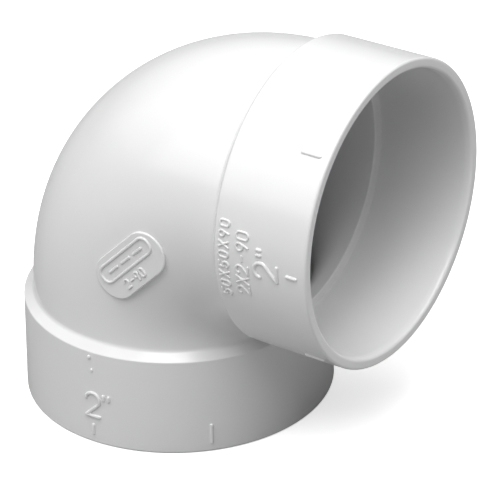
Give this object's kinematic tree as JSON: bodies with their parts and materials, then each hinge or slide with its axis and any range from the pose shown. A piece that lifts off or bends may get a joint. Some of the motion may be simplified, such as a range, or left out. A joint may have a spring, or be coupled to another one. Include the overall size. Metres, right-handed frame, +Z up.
{
  "type": "pipe elbow fitting",
  "caption": "Short-radius 90 degree white PVC elbow with two glue sockets, conical shoulders, internal tube stops and raised size marks.",
  "frame": {"origin": "centre of the lower socket's mouth, in the plane of its rim", "axes": "+Z up from the lower mouth along the lower socket's axis; +X towards the side socket's mouth; the parting plane is y = 0"},
  "size_m": [0.0733, 0.0555, 0.0733],
  "materials": {
    "white_pvc": "smooth moulded gloss with faint flow waves",
    "raised_marks": "smooth moulded gloss, soft edges"
  },
  "bodies": {
    "root": {"lower_hub": "white_pvc", "side_hub": "white_pvc", "lower_tube_stop": "white_pvc", "side_tube_stop": "white_pvc", "bend_lower_half": "white_pvc", "bend_upper_half": "white_pvc", "crotch_web": "white_pvc", "badge_pad": "raised_marks", "badge_frame": "raised_marks", "badge_bars": "raised_marks", "badge_digits": "raised_marks", "lower_size_mark": "raised_marks", "side_size_mark": "raised_marks", "lower_tick_marks": "raised_marks", "side_tick_marks": "raised_marks", "lower_witness_marks": "raised_marks", "side_legend_inner_row": "raised_marks", "side_legend_outer_row": "raised_marks"}
  },
  "joints": []
}
